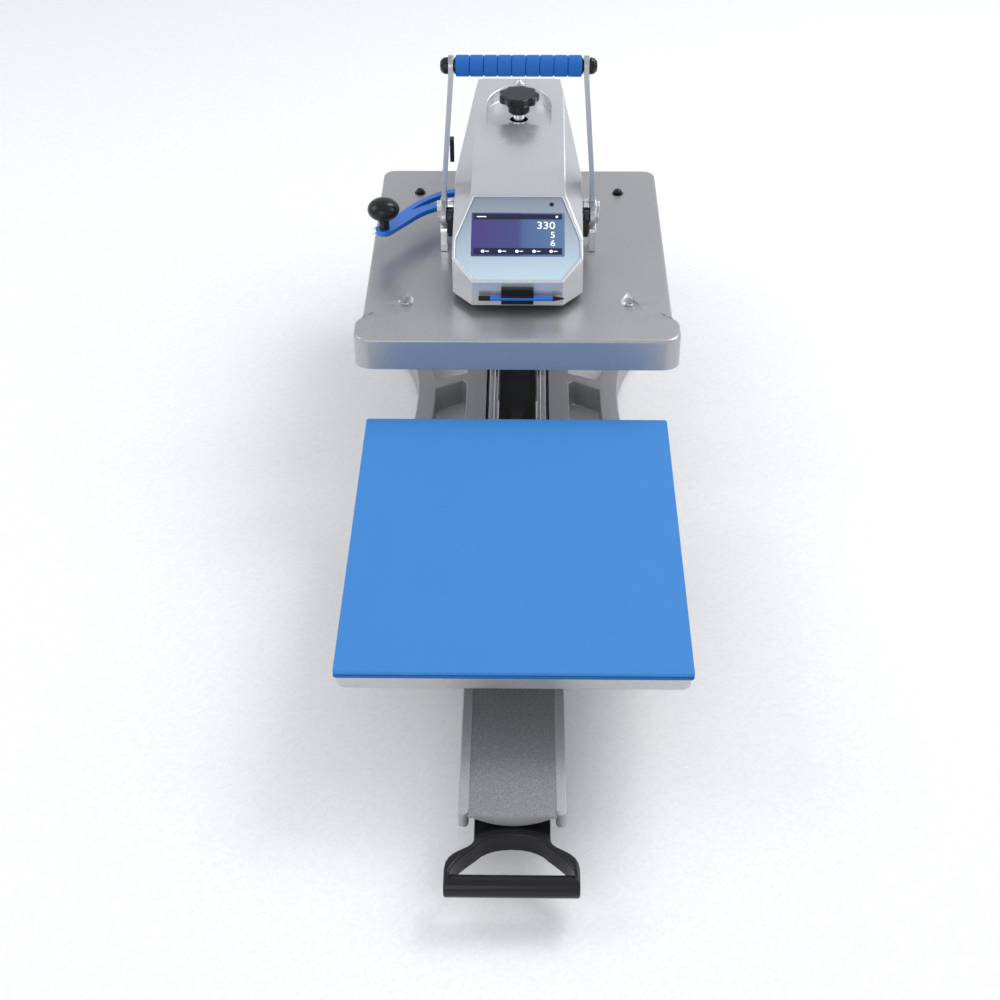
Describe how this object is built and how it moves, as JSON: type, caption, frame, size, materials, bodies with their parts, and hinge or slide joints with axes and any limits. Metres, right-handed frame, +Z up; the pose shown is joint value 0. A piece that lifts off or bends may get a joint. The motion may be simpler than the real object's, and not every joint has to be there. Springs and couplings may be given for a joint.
{
  "type": "heat press",
  "caption": "Swing-away heat press with a flat heated platen under a pivoting head, a pull-out lower platen on telescopic slides, a toggle lift handle and a touch-screen pod.",
  "frame": {"origin": "on the table, under the middle of the whole press with its drawer pulled out", "axes": "+X the operator's right, +Y from the operator to the column, +Z up"},
  "size_m": [0.442, 1.4376, 0.5496],
  "materials": {
    "cast_grey": "satin grey paint on cast metal",
    "silver_paint": "fine silver metallic paint on cast aluminium",
    "cover_silver": "silver metallic lacquer on a moulded cover",
    "chrome": "bright plated",
    "steel": "ground steel",
    "lever_steel": "steel flat bar, blue powder coat on the outer faces, bare ground edges",
    "dark_steel": "blackened steel",
    "bare_aluminium": "machined",
    "pad_blue": "matt silicone sponge",
    "foam_blue": "matt foam",
    "coat_blue": "gloss powder coat",
    "stylus_blue": "gloss",
    "gloss_black": "gloss black powder coat",
    "black_plastic": "satin moulded plastic",
    "rubber": "matt",
    "bronze": "bearing bronze",
    "fibre": "woven insulation",
    "face_print": "printed polyester film, silver to pale blue",
    "screen": "touch glass over a lit display",
    "board": "green circuit board"
  },
  "bodies": {
    "base": {"base_casting": "cast_grey", "rubber_foot_1": "rubber", "rubber_foot_2": "rubber", "rubber_foot_3": "rubber", "rubber_foot_4": "rubber", "channel_liner": "black_plastic", "slide_outer_left": "chrome", "slide_outer_right": "chrome", "column": "steel", "column_collar": "dark_steel", "thrust_washer": "bronze", "column_cap": "dark_steel", "power_box": "black_plastic", "inlet_socket": "black_plastic"},
    "carriage": {"slide_middle_left": "chrome", "slide_middle_right": "chrome", "slide_carriage": "black_plastic"},
    "drawer": {"slide_inner_left": "chrome", "slide_inner_right": "chrome", "drawer_beam": "cast_grey", "drawer_handle": "gloss_black", "platen_pedestal": "cast_grey", "lower_platen": "bare_aluminium", "silicone_pad": "pad_blue"},
    "head": {"swing_arm": "cast_grey", "swing_bush_lower": "bronze", "swing_bush_upper": "bronze", "head_cover": "cover_silver", "cover_screw": "chrome", "face_panel": "face_print", "touch_screen": "screen", "controller_board": "board", "stylus_holder": "black_plastic", "swing_handle_bar": "coat_blue", "swing_handle_knob": "black_plastic", "lift_spring_left": "steel", "lift_spring_right": "steel"},
    "platen": {"platen_cover": "silver_paint", "insulation_sheet": "fibre", "heater_platen": "bare_aluminium", "clevis_block_left": "steel", "clevis_block_right": "steel", "guide_rod_front": "steel", "guide_rod_left": "steel", "guide_rod_right": "steel"},
    "lift_handle": {"pivot_shaft": "chrome", "lever_arm_left": "lever_steel", "lever_arm_right": "lever_steel", "grip_tube": "black_plastic", "foam_grip": "foam_blue", "handle_magnet": "black_plastic"},
    "toggle_left": {"toggle_link_left": "dark_steel"},
    "toggle_right": {"toggle_link_right": "dark_steel"},
    "pressure_screw": {"pressure_knob": "black_plastic", "pressure_spindle": "chrome"},
    "pressure_nut": {"pressure_nut": "bronze"},
    "stylus": {"stylus": "stylus_blue"},
    "power_rocker": {"power_rocker": "black_plastic"},
    "reset_button": {"reset_button": "black_plastic"}
  },
  "joints": [
    {"name": "drawer_pull", "type": "slide", "parent": "base", "child": "drawer", "axis": [0, 1, 0], "range_m": [0, 0.555]},
    {"name": "carriage_slide", "type": "slide", "parent": "base", "child": "carriage", "axis": [0, 1, 0], "range_m": [0, 0.2776]},
    {"name": "head_swing", "type": "hinge", "parent": "base", "child": "head", "pos_m": [0, 0.63025, 0.345], "axis": [0, 0, 1], "range_deg": [0, 95]},
    {"name": "platen_lift", "type": "slide", "parent": "head", "child": "platen", "axis": [0, 0, -1], "range_m": [0, 0.047], "stiffness_N_per_m": 1500, "springref_m": -0.2, "deforming": ["lift_spring_left", "lift_spring_right"]},
    {"name": "lift_handle_turn", "type": "hinge", "parent": "head", "child": "lift_handle", "pos_m": [0, 0.30425, 0.33], "axis": [1, 0, 0], "range_deg": [0, 90]},
    {"name": "toggle_left_turn", "type": "hinge", "parent": "platen", "child": "toggle_left", "pos_m": [-0.097, 0.30425, 0.29199], "axis": [1, 0, 0], "range_deg": [-41.9, 0]},
    {"name": "toggle_right_turn", "type": "hinge", "parent": "platen", "child": "toggle_right", "pos_m": [0.097, 0.30425, 0.29199], "axis": [1, 0, 0], "range_deg": [-41.9, 0]},
    {"name": "pressure_knob_turn", "type": "hinge", "parent": "head", "child": "pressure_screw", "pos_m": [0, 0.43325, 0.334], "axis": [0, 0, 1], "range_deg": [-1080, 1080]},
    {"name": "pressure_nut_travel", "type": "slide", "parent": "head", "child": "pressure_nut", "axis": [0, 0, 1], "range_m": [-0.006, 0.006]},
    {"name": "stylus_slide", "type": "slide", "parent": "head", "child": "stylus", "axis": [1, 0, 0], "range_m": [0, 0.06]},
    {"name": "power_rocker_turn", "type": "hinge", "parent": "base", "child": "power_rocker", "pos_m": [0.019, 0.70975, 0.107], "axis": [1, 0, 0], "range_deg": [-14, 0]},
    {"name": "reset_button_press", "type": "slide", "parent": "base", "child": "reset_button", "axis": [0, -1, 0], "range_m": [0, 0.002], "stiffness_N_per_m": 400, "springref_m": -0.002}
  ],
  "couplings": [
    {"joint": "carriage_slide", "follows": "drawer_pull", "ratio": 0.5},
    {"joint": "lift_handle_turn", "follows": "platen_lift", "rad_per_m": 33.42},
    {"joint": "toggle_left_turn", "follows": "platen_lift", "rad_per_m": -15.526},
    {"joint": "toggle_right_turn", "follows": "platen_lift", "rad_per_m": -15.526},
    {"joint": "pressure_nut_travel", "follows": "pressure_knob_turn", "m_per_rad": 0.000318}
  ]
}
